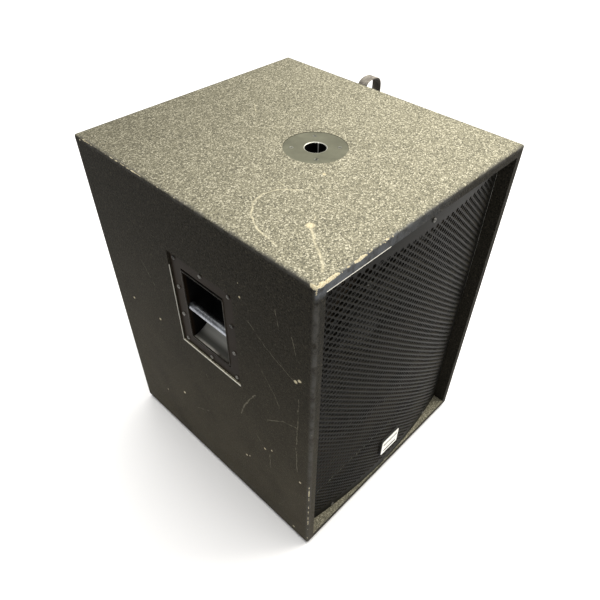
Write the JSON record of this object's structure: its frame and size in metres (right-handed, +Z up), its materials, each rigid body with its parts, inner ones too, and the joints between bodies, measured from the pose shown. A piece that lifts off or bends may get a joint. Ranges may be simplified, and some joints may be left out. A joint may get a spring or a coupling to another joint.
{
  "type": "subwoofer cabinet",
  "caption": "Tall black subwoofer cabinet with a bowed perforated steel grille, recessed bar handles, a pole socket on top and a long-throw woofer inside.",
  "frame": {"origin": "middle of the underside of the bottom panel; the rubber feet hang 9 mm below it", "axes": "+X to the cabinet's own right as seen from the front with the grille facing the viewer, +Y from the grille to the back, +Z up"},
  "size_m": [0.572, 0.5788, 0.731],
  "materials": {
    "cabinet_paint": "black pebbled texture paint over plywood, worn to bare wood on edges",
    "baffle_paint": "thin matt black paint over plywood",
    "bare_plywood": "bare birch plywood",
    "felt": "grey needled felt",
    "grille_steel": "black powder-coated perforated steel",
    "black_screws": "black zinc screws with worn heads",
    "badge_plate": "bright silver plate on a black base",
    "handle_steel": "satin black painted pressed steel",
    "bar_steel": "grey steel bar, polished by hands",
    "socket_metal": "dark satin turned steel",
    "plated_screws": "zinc plated steel",
    "strap_webbing": "grey woven strap",
    "dish_plastic": "black moulded plastic",
    "socket_plastic": "black glass-filled plastic",
    "port_plastic": "black moulded plastic",
    "foot_rubber": "black rubber",
    "frame_casting": "black powder-coated cast frame",
    "gasket_rubber": "black treated cloth and rubber",
    "cone_paper": "black pulp paper",
    "spider_cloth": "resin-dipped cloth",
    "coil_aluminium": "coil wire on a former",
    "motor_steel": "zinc-plated steel",
    "ferrite": "grey-black ferrite",
    "cable_jacket": "black rubber jacket"
  },
  "bodies": {
    "cabinet": {"back_panel": "cabinet_paint", "badge": "badge_plate", "bottom_panel": "cabinet_paint", "corner_blocks": "bare_plywood", "damping_felt": "felt", "feet_screws": "plated_screws", "front_baffle": "baffle_paint", "front_grille": "grille_steel", "grille_bottom_batten": "baffle_paint", "grille_screws": "black_screws", "grille_top_batten": "baffle_paint", "left_handle_bar": "bar_steel", "left_handle_dish": "handle_steel", "left_handle_screws": "black_screws", "left_side_panel": "cabinet_paint", "pole_socket": "socket_metal", "pole_socket_screws": "plated_screws", "port_tube_left": "port_plastic", "port_tube_right": "port_plastic", "rear_connector_dish": "dish_plastic", "rear_dish_screws": "plated_screws", "right_handle_bar": "bar_steel", "right_handle_dish": "handle_steel", "right_handle_screws": "black_screws", "right_side_panel": "cabinet_paint", "rubber_feet": "foot_rubber", "speaker_cable": "cable_jacket", "speaker_socket_in": "socket_plastic", "speaker_socket_link": "socket_plastic", "strap_clamp_plate": "plated_screws", "strap_clamp_screws": "plated_screws", "strap_loop": "strap_webbing", "top_panel": "cabinet_paint", "window_brace": "bare_plywood", "woofer_bolts": "black_screws", "woofer_frame": "frame_casting", "woofer_gasket": "gasket_rubber", "woofer_magnet": "ferrite", "woofer_spider": "spider_cloth", "woofer_surround": "gasket_rubber", "woofer_tee_nuts": "plated_screws", "woofer_terminal": "socket_plastic", "woofer_top_plate": "motor_steel", "woofer_yoke": "motor_steel"},
    "cone": {"woofer_cone": "cone_paper", "woofer_dust_cap": "cone_paper", "woofer_voice_coil": "coil_aluminium"}
  },
  "joints": [
    {"name": "cone_travel", "type": "slide", "parent": "cabinet", "child": "cone", "axis": [0, -1, 0], "range_m": [-0.008, 0.008], "stiffness_N_per_m": 9000, "deforming": ["woofer_surround", "woofer_spider"]}
  ]
}
